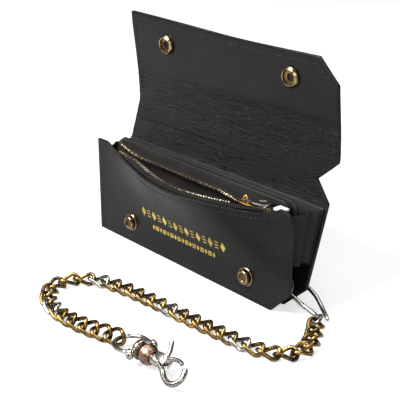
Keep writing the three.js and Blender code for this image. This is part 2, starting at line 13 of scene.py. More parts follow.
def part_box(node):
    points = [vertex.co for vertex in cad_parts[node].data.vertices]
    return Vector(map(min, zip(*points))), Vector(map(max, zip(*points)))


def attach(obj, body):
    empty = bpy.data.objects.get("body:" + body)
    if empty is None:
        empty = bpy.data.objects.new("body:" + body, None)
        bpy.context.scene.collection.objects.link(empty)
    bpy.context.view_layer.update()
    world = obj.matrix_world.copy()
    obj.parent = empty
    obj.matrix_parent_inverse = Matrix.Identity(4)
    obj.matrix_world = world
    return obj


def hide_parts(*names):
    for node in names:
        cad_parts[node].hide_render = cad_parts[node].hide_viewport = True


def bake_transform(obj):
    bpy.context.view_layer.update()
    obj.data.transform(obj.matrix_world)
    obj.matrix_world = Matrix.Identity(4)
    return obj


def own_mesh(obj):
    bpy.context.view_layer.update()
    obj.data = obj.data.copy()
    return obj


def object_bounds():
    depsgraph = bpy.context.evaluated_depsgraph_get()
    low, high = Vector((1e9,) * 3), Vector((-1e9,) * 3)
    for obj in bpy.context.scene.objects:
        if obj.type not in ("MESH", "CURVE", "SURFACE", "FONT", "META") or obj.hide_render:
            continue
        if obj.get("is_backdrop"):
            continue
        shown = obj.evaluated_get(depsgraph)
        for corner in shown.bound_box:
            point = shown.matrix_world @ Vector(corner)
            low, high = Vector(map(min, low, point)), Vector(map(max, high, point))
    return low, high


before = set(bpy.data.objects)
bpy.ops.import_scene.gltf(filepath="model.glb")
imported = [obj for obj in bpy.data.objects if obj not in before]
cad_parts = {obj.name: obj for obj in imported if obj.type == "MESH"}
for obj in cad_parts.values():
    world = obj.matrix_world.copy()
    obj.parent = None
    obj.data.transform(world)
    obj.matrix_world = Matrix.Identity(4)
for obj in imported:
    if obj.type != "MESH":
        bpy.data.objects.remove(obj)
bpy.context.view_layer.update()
MM = 0.001

# %% [markdown]
# ## Camera, floor and light
# The camera looks down a little from the front right, far off with a long lens, so the wallet keeps its
# proportions. Large soft lights give quiet shadows and broad highlights on the leather. The Standard view
# transform keeps black leather black and the pale floor near white.

# %% Camera
def add_camera():
    data = bpy.data.cameras.new("camera")
    data.lens = 87.4
    data.sensor_width = 36
    data.clip_end = 20
    camera = bpy.data.objects.new("camera", data)
    bpy.context.scene.collection.objects.link(camera)
    yaw = math.radians(48.35)
    pitch = math.radians(21.83)
    forward = Vector((-math.sin(yaw) * math.cos(pitch), math.cos(yaw) * math.cos(pitch), -math.sin(pitch)))
    camera.location = (0.4238, -0.3704, 0.2707)
    camera.rotation_euler = forward.to_track_quat("-Z", "Y").to_euler()
    bpy.context.scene.camera = camera


add_camera()

# %% Lights
def add_area_light(name, place, target, size, power, colour=(1, 1, 1)):
    data = bpy.data.lights.new(name, "AREA")
    data.shape = "DISK"
    data.size = size
    data.energy = power
    data.color = colour
    light = bpy.data.objects.new(name, data)
    light.location = place
    direction = Vector(target) - Vector(place)
    light.rotation_euler = direction.to_track_quat("-Z", "Y").to_euler()
    bpy.context.scene.collection.objects.link(light)


def set_world(strength):
    world = bpy.data.worlds.new("studio")
    world.use_nodes = True
    background = world.node_tree.nodes["Background"]
    background.inputs["Color"].default_value = (1, 1, 1, 1)
    background.inputs["Strength"].default_value = strength
    bpy.context.scene.world = world


bpy.context.scene.view_settings.view_transform = "Standard"
SUBJECT = (0, -0.02, 0.05)
add_area_light("key", (-0.35, -0.75, 0.95), SUBJECT, 0.7, 34)
add_area_light("front", (0.75, -0.75, 0.55), SUBJECT, 0.6, 4)
add_area_light("top", (0.1, 0.15, 1.1), (0, 0, 0), 0.8, 8)
set_world(0.16)

# %% [markdown]
# ## Node helpers and shared surface effects
# Each effect that several materials share is a node group that gives out only a mask or a height, so the
# shader itself stays in the material where it is easy to find.

# %% Node helpers
def node(tree, kind, **values):
    made = tree.nodes.new(kind)
    for key, value in values.items():
        setattr(made, key, value)
    return made


def ramp(tree, source, stops):
    made = node(tree, "ShaderNodeValToRGB")
    elements = made.color_ramp.elements
    while len(elements) < len(stops):
        elements.new(0.5)
    for element, (position, colour) in zip(elements, stops):
        element.position = position
        element.color = (*colour, 1)
    tree.links.new(source, made.inputs["Fac"])
    return made.outputs["Color"]


def noise_texture(tree, vector, scale, detail=4.0, roughness=0.55):
    made = node(tree, "ShaderNodeTexNoise")
    made.inputs["Scale"].default_value = scale
    made.inputs["Detail"].default_value = detail
    made.inputs["Roughness"].default_value = roughness
    tree.links.new(vector, made.inputs["Vector"])
    return made.outputs["Fac"]


def math_node(tree, operation, first, second):
    made = node(tree, "ShaderNodeMath", operation=operation)
    for socket, value in zip(made.inputs, (first, second)):
        if isinstance(value, (int, float)):
            socket.default_value = value
        else:
            tree.links.new(value, socket)
    return made.outputs[0]


def stretched(tree, vector, scale):
    made = node(tree, "ShaderNodeMapping")
    made.inputs["Scale"].default_value = scale
    tree.links.new(vector, made.inputs["Vector"])
    return made.outputs["Vector"]


def effect_group(name, output_name, build):
    group = bpy.data.node_groups.new(name, "ShaderNodeTree")
    group.interface.new_socket("Vector", in_out="INPUT", socket_type="NodeSocketVector")
    group.interface.new_socket(output_name, in_out="OUTPUT", socket_type="NodeSocketFloat")
    source = node(group, "NodeGroupInput")
    target = node(group, "NodeGroupOutput")
    group.links.new(build(group, source.outputs["Vector"]), target.inputs[output_name])
    return group


def use_group(tree, group, vector):
    made = node(tree, "ShaderNodeGroup", node_tree=group)
    tree.links.new(vector, made.inputs["Vector"])
    return made.outputs[0]


# %% Grain, creases and tarnish
def grain_height(tree, vector):
    cells = node(tree, "ShaderNodeTexVoronoi", feature="SMOOTH_F1")
    cells.inputs["Scale"].default_value = 1500
    cells.inputs["Smoothness"].default_value = 0.6
    warp = noise_texture(tree, vector, 700, 3)
    tree.links.new(vector, cells.inputs["Vector"])
    return math_node(tree, "ADD", cells.outputs["Distance"], math_node(tree, "MULTIPLY", warp, 0.5))


def height_band(tree, vector, low, high, soft):
    """1 between two heights above the floor, fading to 0 over a soft edge."""
    height = node(tree, "ShaderNodeSeparateXYZ")
    tree.links.new(vector, height.inputs["Vector"])
    edges = []
    for start, end in ((low - soft, low), (high + soft, high)):
        made = node(tree, "ShaderNodeMapRange", interpolation_type="SMOOTHSTEP")
        made.inputs["From Min"].default_value = start
        made.inputs["From Max"].default_value = end
        tree.links.new(height.outputs["Z"], made.inputs["Value"])
        edges.append(made.outputs["Result"])
    return math_node(tree, "MULTIPLY", *edges)


def crease_height(tree, vector):
    across = stretched(tree, vector, (110, 150, 520))
    wandering = noise_texture(tree, across, 1.0, 6, 0.62)
    folded = math_node(tree, "ABSOLUTE", math_node(tree, "SUBTRACT", wandering, 0.5), 0)
    deep = math_node(tree, "MINIMUM", math_node(tree, "MULTIPLY", folded, 5.0), 0.6)
    return math_node(tree, "MULTIPLY", deep, height_band(tree, vector, 0.068, 0.1, 0.014))


def tarnish_mask(tree, vector):
    broad = noise_texture(tree, vector, 160, 3)
    fine = noise_texture(tree, vector, 900, 5, 0.65)
    broad_share = math_node(tree, "MULTIPLY", broad, 0.6)
    fine_share = math_node(tree, "MULTIPLY", fine, 0.4)
    return math_node(tree, "ADD", broad_share, fine_share)


def scuff_mask(tree, vector):
    drawn = stretched(tree, vector, (260, 260, 40))
    return noise_texture(tree, drawn, 1.0, 6, 0.7)


GRAIN = effect_group("leather grain", "Height", grain_height)
CREASES = effect_group("leather creases", "Height", crease_height)
TARNISH = effect_group("tarnish", "Mask", tarnish_mask)
SCUFFS = effect_group("scuffs", "Mask", scuff_mask)

# %% [markdown]
# ## Materials
# Leather is nearly black with a slow change of tone, a fine pebble grain and softer or sharper highlights
# where it has been handled. Metals carry tarnish in patches, which keeps the links from looking identical.

# %% Material base
def material(name):
    made = bpy.data.materials.new(name)
    made.use_nodes = True
    tree = made.node_tree
    shader = tree.nodes["Principled BSDF"]
    place = node(tree, "ShaderNodeTexCoord").outputs["Object"]
    return made, tree, shader, place


def bump(tree, shader, height, strength, distance):
    made = node(tree, "ShaderNodeBump")
    made.inputs["Strength"].default_value = strength
    made.inputs["Distance"].default_value = distance
    tree.links.new(height, made.inputs["Height"])
    previous = shader.inputs["Normal"].links
    if previous:
        tree.links.new(previous[0].from_socket, made.inputs["Normal"])
    tree.links.new(made.outputs["Normal"], shader.inputs["Normal"])


def roughness_between(tree, shader, mask, low, high):
    made = node(tree, "ShaderNodeMapRange")
    made.inputs["From Min"].default_value = 0.3
    made.inputs["From Max"].default_value = 0.7
    made.inputs["To Min"].default_value = low
    made.inputs["To Max"].default_value = high
    tree.links.new(mask, made.inputs["Value"])
    tree.links.new(made.outputs["Result"], shader.inputs["Roughness"])


def leather(name, dark, light, smooth, rough, grain, crease=0.0, shine=0.25):
    made, tree, shader, place = material(name)
    tone = noise_texture(tree, place, 38, 5)
    tree.links.new(ramp(tree, tone, [(0.3, dark), (0.7, light)]), shader.inputs["Base Color"])
    roughness_between(tree, shader, use_group(tree, SCUFFS, place), smooth, rough)
    shader.inputs["Specular IOR Level"].default_value = shine
    bump(tree, shader, noise_texture(tree, place, 40, 3), 0.12, 0.001)
    if crease:
        bump(tree, shader, use_group(tree, CREASES, place), crease, 0.0009)
    bump(tree, shader, use_group(tree, GRAIN, place), grain, 0.00012)
    return made


def metal(name, dark, light, smooth, rough, pits=0.15):
    made, tree, shader, place = material(name)
    shader.inputs["Metallic"].default_value = 1.0
    mask = use_group(tree, TARNISH, place)
    tree.links.new(ramp(tree, mask, [(0.38, dark), (0.62, light)]), shader.inputs["Base Color"])
    roughness_between(tree, shader, mask, rough, smooth)
    bump(tree, shader, noise_texture(tree, place, 1300, 4), pits, 0.00012)
    return made


# %% Leather, cloth and metal finishes
BLACK = leather("black leather", (0.003, 0.003, 0.003), (0.006, 0.0058, 0.0056), 0.22, 0.36, 0.12, shine=0.2)
CREASED = leather("creased black leather", (0.003, 0.003, 0.003), (0.006, 0.0058, 0.0056), 0.24, 0.4, 0.14, 0.8,
                  shine=0.2)
INNER = leather("grained inner leather", (0.007, 0.0065, 0.006), (0.015, 0.014, 0.013), 0.45, 0.65, 0.6)
RAW = leather("raw flesh side", (0.02, 0.014, 0.01), (0.07, 0.048, 0.033), 0.75, 0.95, 0.9, shine=0.1)
EDGE = leather("burnished edge", (0.005, 0.0045, 0.004), (0.018, 0.014, 0.011), 0.35, 0.6, 0.4)
THREAD = leather("waxed thread", (0.004, 0.004, 0.004), (0.012, 0.011, 0.011), 0.45, 0.7, 0.8)
CLOTH = leather("zip tape cloth", (0.006, 0.006, 0.006), (0.016, 0.016, 0.017), 0.8, 0.95, 0.9, shine=0.1)
PALE_CLOTH = leather("pale tape end", (0.5, 0.49, 0.46), (0.7, 0.69, 0.66), 0.4, 0.7, 0.6)
DARK_BRASS = metal("dark antique brass", (0.008, 0.006, 0.004), (0.42, 0.26, 0.08), 0.16, 0.4)
SNAP_BRASS = metal("snap brass", (0.03, 0.022, 0.015), (0.26, 0.18, 0.09), 0.2, 0.38)
RIM_BRASS = metal("bright snap rim", (0.24, 0.17, 0.09), (0.66, 0.5, 0.28), 0.16, 0.3)
BRIGHT_BRASS = metal("bright brass", (0.4, 0.25, 0.08), (0.75, 0.52, 0.19), 0.15, 0.3)
TOOTH_BRASS = metal("zip tooth brass", (0.16, 0.11, 0.05), (0.5, 0.36, 0.17), 0.2, 0.35)
TOOTH_SILVER = metal("zip tooth silver", (0.22, 0.21, 0.19), (0.6, 0.58, 0.54), 0.2, 0.35)
SILVER = metal("aged silver", (0.13, 0.12, 0.1), (0.66, 0.63, 0.58), 0.14, 0.32)
COPPER = metal("copper bead", (0.1, 0.05, 0.033), (0.6, 0.38, 0.27), 0.24, 0.45, 0.7)
FOIL = metal("gold foil", (0.5, 0.34, 0.06), (0.95, 0.72, 0.2), 0.3, 0.5, 0.3)


# %% [markdown]
# ## Floor
# Dark glossy leather mirrors whatever lies in front of it, and a bright floor turns it grey. So the floor
# glows only where it is looked at directly, and stays a quiet mid grey in reflections.

# %% Floor
FLOOR_GLOW = 0.62


def add_floor():
    bpy.ops.mesh.primitive_plane_add(size=12)
    floor = bpy.context.object
    floor.name = "floor"
    made, tree, shader, place = material("pale floor")
    tone = noise_texture(tree, place, 3, 2)
    greys = ramp(tree, tone, [(0.3, (0.4, 0.4, 0.4)), (0.7, (0.42, 0.42, 0.42))])
    tree.links.new(greys, shader.inputs["Base Color"])
    shader.inputs["Roughness"].default_value = 0.9
    shader.inputs["Specular IOR Level"].default_value = 0.1
    shader.inputs["Emission Color"].default_value = (1, 1, 1, 1)
    seen = node(tree, "ShaderNodeLightPath").outputs["Is Camera Ray"]
    tree.links.new(math_node(tree, "MULTIPLY", seen, FLOOR_GLOW), shader.inputs["Emission Strength"])
    floor.data.materials.append(made)
    floor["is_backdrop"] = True


add_floor()

# %% [markdown]
# ## Mesh helpers
# Meshes are built from points in millimetres. A piece is finished by setting its materials, smoothing
# its shading and tying it to the body that it moves with.

# %% Making a mesh
def piece_name(words):
    return words.replace(" ", "_") + "_look"


def make_object(name, points, faces, materials, slots=None):
    mesh = bpy.data.meshes.new(piece_name(name))
    mesh.from_pydata([tuple(c * MM for c in p) for p in points], [], faces)
    if slots is not None:
        mesh.polygons.foreach_set("material_index", slots)
    for finish in materials:
        mesh.materials.append(finish)
    made = bpy.data.objects.new(piece_name(name), mesh)
    bpy.context.scene.collection.objects.link(made)
    return made


def select_only(piece):
    bpy.ops.object.select_all(action="DESELECT")
    piece.select_set(True)
    bpy.context.view_layer.objects.active = piece


def face_outward(piece):
    select_only(piece)
    bpy.ops.object.mode_set(mode="EDIT")
    bpy.ops.mesh.select_all(action="SELECT")
    bpy.ops.mesh.normals_make_consistent(inside=False)
    bpy.ops.object.mode_set(mode="OBJECT")


def finish_piece(piece, angle=40, bevel=0.0, segments=2):
    face_outward(piece)
    if bevel:
        modifier = piece.modifiers.new("rounded edges", "BEVEL")
        modifier.width = bevel * MM
        modifier.segments = segments
        modifier.limit_method = "ANGLE"
        modifier.angle_limit = math.radians(50)
        modifier.use_clamp_overlap = True
        bpy.ops.object.modifier_apply(modifier=modifier.name)
    select_only(piece)
    bpy.ops.object.shade_smooth_by_angle(angle=math.radians(angle))
    return piece


def steps(breaks, size):
    values = [breaks[0]]
    for low, high in zip(breaks, breaks[1:]):
        count = max(1, math.ceil((high - low) / size))
        values += [low + (high - low) * (i + 1) / count for i in range(count)]
    return values


def smooth_step(low, high, value):
    t = min(max((value - low) / (high - low), 0), 1)
    return t * t * (3 - 2 * t)


# %% A leather panel
def panel(name, grid, place, thickness, front, back, edge, bevel=0.45):
    """grid is a list of rows of (x, s). place(x, s) gives the middle point and the direction front to back."""
    rows = len(grid)
    columns = len(grid[0])
    points = []
    for side in (-0.5, 0.5):
        for row in grid:
            for x, s in row:
                middle, through, lift = place(x, s)
                offset = thickness * side + (lift if side < 0 else 0)
                points.append([middle[k] + through[k] * offset for k in range(3)])
    def at(layer, r, c):
        return layer * rows * columns + r * columns + c
    faces = []
    slots = []
    for r in range(rows - 1):
        for c in range(columns - 1):
            faces.append([at(0, r, c), at(0, r, c + 1), at(0, r + 1, c + 1), at(0, r + 1, c)])
            faces.append([at(1, r, c), at(1, r + 1, c), at(1, r + 1, c + 1), at(1, r, c + 1)])
            slots += [0, 1]
    for c in range(columns - 1):
        faces.append([at(0, 0, c), at(1, 0, c), at(1, 0, c + 1), at(0, 0, c + 1)])
        last = rows - 1
        faces.append([at(0, last, c), at(0, last, c + 1), at(1, last, c + 1), at(1, last, c)])
        slots += [2, 2]
    for r in range(rows - 1):
        faces.append([at(0, r, 0), at(0, r + 1, 0), at(1, r + 1, 0), at(1, r, 0)])
        last = columns - 1
        faces.append([at(0, r, last), at(1, r, last), at(1, r + 1, last), at(0, r + 1, last)])
        slots += [2, 2]
    made = make_object(name, points, faces, [front, back, edge], slots)
    return finish_piece(made, 45, bevel)


# %% Stitches along a seam
def stitches(name, route, place, thickness, side, pitch=3.3, length=2.5, radius=0.33):
    """Short waxed threads lying on one skin of a panel, end to end along a route of (x, s) corners."""
    points = []
    faces = []
    rings = 5
    around = 6
    for (x0, s0), (x1, s1) in zip(route, route[1:]):
        run = math.hypot(x1 - x0, s1 - s0)
        count = int(run / pitch)
        for i in range(count):
            t = (i + 0.5) / count
            x = x0 + (x1 - x0) * t
            s = s0 + (s1 - s0) * t
            dx = (x1 - x0) / run
            ds = (s1 - s0) / run
            middle, through, lift = place(x, s)
            ahead = place(x + dx, s + ds)[0]
            along = (Vector(ahead) - Vector(middle)).normalized()
            normal = Vector(through) * side
            across = along.cross(normal).normalized()
            skin = Vector(middle) + normal * (thickness / 2 - (lift if side < 0 else 0) + 0.06)
            base = len(points)
            for ring in range(rings):
                a = math.pi * (ring + 0.5) / rings
                centre = skin - along * math.cos(a) * length / 2 - normal * (0.28 * abs(math.cos(a)) ** 3)
                r = radius * math.sin(a) ** 0.5
                for k in range(around):
                    b = 2 * math.pi * k / around
                    points.append(centre + across * math.cos(b) * r + normal * math.sin(b) * r)
            for ring in range(rings - 1):
                for k in range(around):
                    nxt = (k + 1) % around
                    row = base + ring * around
                    faces.append([row + k, row + nxt, row + around + nxt, row + around + k])
            faces.append([base + k for k in range(around)][::-1])
            faces.append([base + (rings - 1) * around + k for k in range(around)])
    made = make_object(name, points, faces, [THREAD])
    return finish_piece(made, 60)


# %% Round wire and turned pieces
def smooth_curve(points, count, closed=False):
    """A Catmull-Rom curve through the points, sampled evenly in its own parameter."""
    pts = [Vector(p) for p in points]
    n = len(pts)
    out = []
    spans = n if closed else n - 1
    for i in range(count):
        t = i / count * spans if closed else i / (count - 1) * spans
        k = min(int(t), spans - 1)
        u = t - k
        if closed:
            a, b, c, d = (pts[(k + j) % n] for j in (-1, 0, 1, 2))
        else:
            a, b, c, d = pts[max(k - 1, 0)], pts[k], pts[k + 1], pts[min(k + 2, n - 1)]
        out.append(0.5 * (2 * b + (c - a) * u + (2 * a - 5 * b + 4 * c - d) * u * u + (3 * b - a - 3 * c + d) * u ** 3))
    return out


def tube(centres, radius, sides=14, closed=False):
    """Rings of points round a line of centres; radius is one number or a function of 0 to 1 along it."""
    count = len(centres)
    points = []
    faces = []
    up = None
    for i, centre in enumerate(centres):
        before = centres[(i - 1) % count] if closed or i else centres[0]
        after = centres[(i + 1) % count] if closed or i < count - 1 else centres[-1]
        along = (after - before).normalized()
        if up is None:
            up = along.orthogonal().normalized()
        up = (up - along * up.dot(along)).normalized()
        side = along.cross(up)
        r = radius(i / (count - 1)) if callable(radius) else radius
        for k in range(sides):
            a = 2 * math.pi * k / sides
            points.append(centre + up * math.cos(a) * r + side * math.sin(a) * r)
    if closed:
        first = points[:sides]
        last = points[-sides:]
        turn = min(range(sides), key=lambda s: (first[s] - last[0]).length)
    for i in range(count if closed else count - 1):
        for k in range(sides):
            shift = turn if closed and i == count - 1 else 0
            a = i * sides + k
            b = i * sides + (k + 1) % sides
            c = ((i + 1) % count) * sides + (k + 1 + shift) % sides
            d = ((i + 1) % count) * sides + (k + shift) % sides
            faces.append([a, b, c, d])
    if not closed:
        faces.append(list(range(sides))[::-1])
        faces.append([(count - 1) * sides + k for k in range(sides)])
    return points, faces


def turned(profile, sides=48, closed=False):
    """Rings of (radius, height) about +X; a profile starts and ends on the axis unless it is closed."""
    points = []
    rings = []
    for radius, height in profile:
        if radius < 1e-6:
            rings.append([len(points)] * sides)
            points.append(Vector((height, 0, 0)))
            continue
        rings.append([len(points) + k for k in range(sides)])
        for k in range(sides):
            a = 2 * math.pi * k / sides
            points.append(Vector((height, radius * math.cos(a), radius * math.sin(a))))
    faces = []
    pairs = list(zip(rings, rings[1:] + rings[:1])) if closed else list(zip(rings, rings[1:]))
    for low, high in pairs:
        for k in range(sides):
            n = (k + 1) % sides
            face = [low[k], low[n], high[n], high[k]]
            face = list(dict.fromkeys(face))
            if len(face) > 2:
                faces.append(face)
    return points, faces


def gather(parts):
    """Several (points, faces, slot) shells as one mesh."""
    points = []
    faces = []
    slots = []
    for part_points, part_faces, slot in parts:
        base = len(points)
        points += part_points
        faces += [[base + i for i in face] for face in part_faces]
        slots += [slot] * len(part_faces)
    return points, faces, slots


def block(low, high):
    """A plain box between two corners."""
    xs, ys, zs = zip(low, high)
    points = [Vector((x, y, z)) for x in xs for y in ys for z in zs]
    faces = [[0, 1, 3, 2], [4, 6, 7, 5], [0, 4, 5, 1], [2, 3, 7, 6], [0, 2, 6, 4], [1, 5, 7, 3]]
    return points, faces


def moved(points, origin, right, deep, up):
    """Points from a local frame, given by its origin and three directions, into the row frame."""
    return [origin + right * p[0] + deep * p[1] + up * p[2] for p in points]


# %% [markdown]
# ## The cover: back, fold and flap
# One long piece of leather makes the back, the fold zone and the flap, so its middle line is one curve.
# It leans back up to the second fold, then comes forward. It is built as two meshes that meet halfway
# along the fold zone, because each mesh can bend across only one joint.

# %% Cover line
HALF_WIDTH = 90.0
CORNER = 14.4
BACK_HEIGHT = 66.0
FOLD_HEIGHT = 24.0
FOLD_MIDDLE = BACK_HEIGHT + FOLD_HEIGHT / 2
FOLD_END = BACK_HEIGHT + FOLD_HEIGHT
NOTCH = 12.3
FLAP_END = FOLD_END + 60.5
COVER = 2.6
LEAN = math.radians(17.6)


def cover_angle(s):
    """Forward lean of the cover at a distance s up from its foot, in radians."""
    lean = -17.6
    lean += 20.4 * smooth_step(FOLD_END - 5, FOLD_END + 6, s)
    lean += 3.6 * smooth_step(FOLD_END + 8, FOLD_END + 24, s)
    lean -= 4.0 * smooth_step(FLAP_END - 20, FLAP_END, s)
    return math.radians(lean)


def cover_line():
    size = 0.25
    y, z = 4.7, 0.0
    line = [(y, z)]
    for i in range(int((FLAP_END + 6) / size)):
        angle = cover_angle(i * size)
        y -= math.sin(angle) * size
        z += math.cos(angle) * size
        line.append((y, z))
    return line, size


COVER_LINE, COVER_STEP = cover_line()


def cover_place(x, s):
    position = s / COVER_STEP
    i = min(int(position), len(COVER_LINE) - 2)
    t = position - i
    y = COVER_LINE[i][0] * (1 - t) + COVER_LINE[i + 1][0] * t
    z = COVER_LINE[i][1] * (1 - t) + COVER_LINE[i + 1][1] * t
    angle = cover_angle(s)
    crease = smooth_step(FOLD_END - 26, FOLD_END - 16, s) * (1 - smooth_step(FOLD_END + 14, FOLD_END + 34, s))
    ripple = noise.noise(Vector((x * 0.035, s * 0.33, 0.0))) + 0.5 * noise.noise(Vector((x * 0.09, s * 0.8, 4.0)))
    sag = 0.8 * noise.noise(Vector((x * 0.02, s * 0.03, 9.0))) * smooth_step(FOLD_END, FLAP_END, s)
    return (x, y + sag, z), (0.0, math.cos(angle), math.sin(angle)), -0.32 * crease * ripple


def cover_right(s):
    if s < CORNER:
        return HALF_WIDTH - CORNER + s
    if s > FLAP_END - CORNER:
        return HALF_WIDTH - (s - (FLAP_END - CORNER))
    return HALF_WIDTH - NOTCH * max(0, 1 - abs(s - FOLD_MIDDLE) / (FOLD_HEIGHT / 2))


def flap_wave(x, s):
    """The flap's free edge is a little higher at its left end than in the middle."""
    share = smooth_step(FOLD_END, FLAP_END, s)
    return share * (-1.2 + 2.4 * smooth_step(20, -90, x) if x < 20 else -1.2 + 0.8 * smooth_step(20, 90, x))


def cover_rows(breaks, size):
    rows = []
    for s in steps(breaks, size):
        count = 112
        right = cover_right(s)
        rows.append([(-HALF_WIDTH + (right + HALF_WIDTH) * i / count, s) for i in range(count + 1)])
    return [[(x, s + (flap_wave(x, s) if s > FOLD_END else 0)) for x, s in row] for row in rows]


# %% Back half of the cover
def cover_point(s, x=0.0):
    return Vector(cover_place(x, s)[0]) * MM


back_cover = panel("back cover", cover_rows([0.45, CORNER, BACK_HEIGHT, FOLD_MIDDLE], 1.4), cover_place, COVER,
                   CREASED, BLACK, EDGE, bevel=0.5)
cover_point(BACK_HEIGHT - 4)
cover_point(BACK_HEIGHT + 5)
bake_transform(back_cover)
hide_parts("back_panel")
print("back cover", len(back_cover.data.polygons), "faces")

# %% Flap half of the cover
flap_cover = panel("flap cover", cover_rows([FOLD_MIDDLE, FOLD_END, FLAP_END - CORNER, FLAP_END], 1.4), cover_place,
                   COVER, CREASED, BLACK, EDGE, bevel=0.5)
cover_point(FOLD_END - 5)
cover_point(FOLD_END + 5)
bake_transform(flap_cover)
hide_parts("fold_spine", "flap")
print("flap cover", len(flap_cover.data.polygons), "faces")

# %% Cover stitching
INSET = 3.4
back_seam = [(-HALF_WIDTH + INSET, BACK_HEIGHT - 4), (-HALF_WIDTH + INSET, INSET), (HALF_WIDTH - CORNER - 1, INSET),
             (HALF_WIDTH - INSET, CORNER + 1), (HALF_WIDTH - INSET, BACK_HEIGHT - 4)]
flap_seam = [(-HALF_WIDTH + INSET, FOLD_END + 8), (-HALF_WIDTH + INSET, FLAP_END - INSET - 0.6),
             (HALF_WIDTH - CORNER - 1, FLAP_END - INSET - 1), (HALF_WIDTH - INSET, FLAP_END - CORNER - 1),
             (HALF_WIDTH - INSET, FOLD_END + 8)]


def flap_seam_place(x, s):
    return cover_place(x, s + flap_wave(x, s))


back_threads = stitches("back seam", back_seam, cover_place, COVER, 1)
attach(back_threads, "back")
for side, title in ((-1, "flap seam inside"), (1, "flap seam outside")):
    threads = stitches(title, flap_seam, flap_seam_place, COVER, side)
    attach(threads, "flap_body")

# %% [markdown]
# ## The pockets
# The inner pocket lies on the back, the divider stands between, and the zip pocket's back wall leans a
# little less. Each is a thin panel of grained leather.

# %% Inner panels
def leaning(foot_y, angle, bow):
    """A place function for a panel that leans back by angle from foot_y, with a little extra bow."""
    def place(x, s):
        y = foot_y + s * math.sin(angle) + bow(x, s)
        return (x, y, s * math.cos(angle)), (0.0, math.cos(angle), -math.sin(angle)), 0.0
    return place


def rows_between(left, right, breaks, size=1.6, count=90):
    rows = []
    for s in steps(breaks, size):
        low, high = left(s), right(s)
        rows.append([(low + (high - low) * i / count, s) for i in range(count + 1)])
    return rows


def rounded(edge, top, radius):
    """A side edge that curves in by radius towards the top."""
    def reach(s):
        over = max(0, s - (top - radius))
        return edge - math.copysign(radius - math.sqrt(max(radius ** 2 - over ** 2, 0)), edge)
    return reach


def pocket_bow(x, s):
    return 0.35 * math.sin(x / 29.0) * (s / 64) ** 2


def divider_bow(x, s):
    return (0.5 + 0.5 * math.cos(x / 28.0)) * (s / 66) ** 2


def zip_back_bow(x, s):
    return 2.0 * smooth_step(20, -85, x) * (s / 66) ** 2


def pocket_right(s):
    return min(89.0, 56 + max(0, s - 2)) if s < 30 else 89.0


inner_place = leaning(4.7 - 2.15, LEAN, pocket_bow)
inner_pocket = panel("inner pocket", rows_between(lambda s: -89.0, pocket_right, [2, 30, 64]), inner_place, 1.2,
                     INNER, INNER, EDGE, bevel=0.3)
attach(inner_pocket, "back")
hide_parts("inner_pocket")


def divider_right(s):
    if s < 25:
        return 58 + (s - 2.5)
    return rounded(80.5, 65.5, 6)(s)


divider_place = leaning(0.6, math.radians(8.2), divider_bow)
divider = panel("divider", rows_between(rounded(-83.3, 65.5, 3), divider_right, [2.5, 25, 59.5, 65.5]), divider_place,
                1.6, INNER, INNER, EDGE, bevel=0.4)
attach(divider, "divider_body")
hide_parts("divider")


def zip_back_right(s):
    if s < 7.5:
        return 73 + (s - 2.5)
    return rounded(78, 66, 4)(s)


zip_back_place = leaning(-2.4, math.radians(6), zip_back_bow)
zip_back = panel("zip pocket back", rows_between(rounded(-82, 66, 6), zip_back_right, [2.5, 7.5, 60, 66]),
                 zip_back_place, 1.6, INNER, INNER, EDGE, bevel=0.4)
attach(zip_back, "front_pocket")
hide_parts("zip_pocket_back")
print("three inner panels made")

# %% [markdown]
# ## The front of the zip pocket
# The front stands straight at both ends and bows forward in the middle where the zip is open. Its top
# edge dips there.

# %% Front panel
BOW = 16.0
BOW_REACH = 82.0
BOW_START = 18.0
FRONT = 2.0


def front_top(x):
    reach = min(abs(x) / 80, 1)
    corner = 7 - math.sqrt(max(49 - (x - 83) ** 2, 0)) if x > 83 else 0
    return 65 - 8.5 * (1 - reach ** 6) - corner


def front_bow(x, s):
    if abs(x) >= BOW_REACH:
        return 0.0
    across = math.cos(math.pi / 2 * x / BOW_REACH) ** 2
    up = min(max((s - BOW_START) / (56.5 - BOW_START), 0), 1) ** 1.5
    return BOW * across * up


def front_place(x, s):
    slope = (front_bow(x, s + 0.5) - front_bow(x, s - 0.5))
    turn = (front_bow(x + 0.5, s) - front_bow(x - 0.5, s))
    through = Vector((turn, 1, slope)).normalized()
    soft = 0.25 * noise.noise(Vector((x * 0.03, s * 0.04, 2.0)))
    return (x, -5 - front_bow(x, s) + soft, s), tuple(through), 0.0


def front_rows():
    count = 44
    columns = steps([-HALF_WIDTH, HALF_WIDTH - CORNER, 83], 1.6) + [84, 85, 86, 87, 88, 88.8, 89.4, 89.8, 90]
    rows = []
    for r in range(count + 1):
        t = r / count
        rows.append([(x, max(0, x - (HALF_WIDTH - CORNER)) * (1 - t) + front_top(x) * t) for x in columns])
    return rows


def flatten_on_closing(piece):
    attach(piece, "front_pocket")
    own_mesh(piece)


front_panel = panel("front panel", front_rows(), front_place, FRONT, BLACK, RAW, EDGE, bevel=0.5)
flatten_on_closing(front_panel)
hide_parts("front_panel")

front_seam = [(HALF_WIDTH - INSET, 55), (HALF_WIDTH - INSET, CORNER + 1.5), (HALF_WIDTH - CORNER - 1.4, INSET),
              (-HALF_WIDTH + INSET, INSET), (-HALF_WIDTH + INSET, 61.4)]
rim_seam = [(-86.5 + 3.3 * i, front_top(-86.5 + 3.3 * i) - INSET) for i in range(52)]
front_threads = stitches("front seam", front_seam, front_place, FRONT, -1)
flatten_on_closing(front_threads)
rim_threads = stitches("front rim seam", rim_seam, front_place, FRONT, -1, pitch=3.2)
flatten_on_closing(rim_threads)
print("front panel", len(front_panel.data.polygons), "faces")

